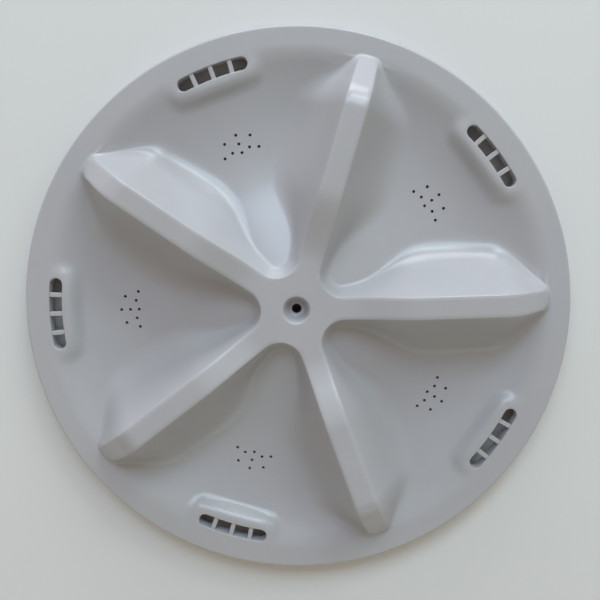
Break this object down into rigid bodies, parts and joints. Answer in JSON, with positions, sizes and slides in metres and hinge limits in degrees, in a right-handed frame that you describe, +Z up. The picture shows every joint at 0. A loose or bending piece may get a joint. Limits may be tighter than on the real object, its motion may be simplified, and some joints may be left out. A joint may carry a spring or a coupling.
{
  "type": "washing machine pulsator",
  "caption": "Round moulded pulsator disc with hollow vanes blended into a dish, drain slots and holes, and a central screw recess over a serrated drive socket.",
  "frame": {"origin": "centre of the skirt's lower edge, on the axis of rotation, where the disc rests", "axes": "+Z up along the axis of rotation, out of the vanes; +X along the middle of one vane"},
  "size_m": [0.36, 0.36, 0.0504],
  "materials": {
    "moulding": "satin injection moulded polypropylene, light grey-white"
  },
  "bodies": {
    "root": {"pulsator": "moulding"}
  },
  "joints": []
}
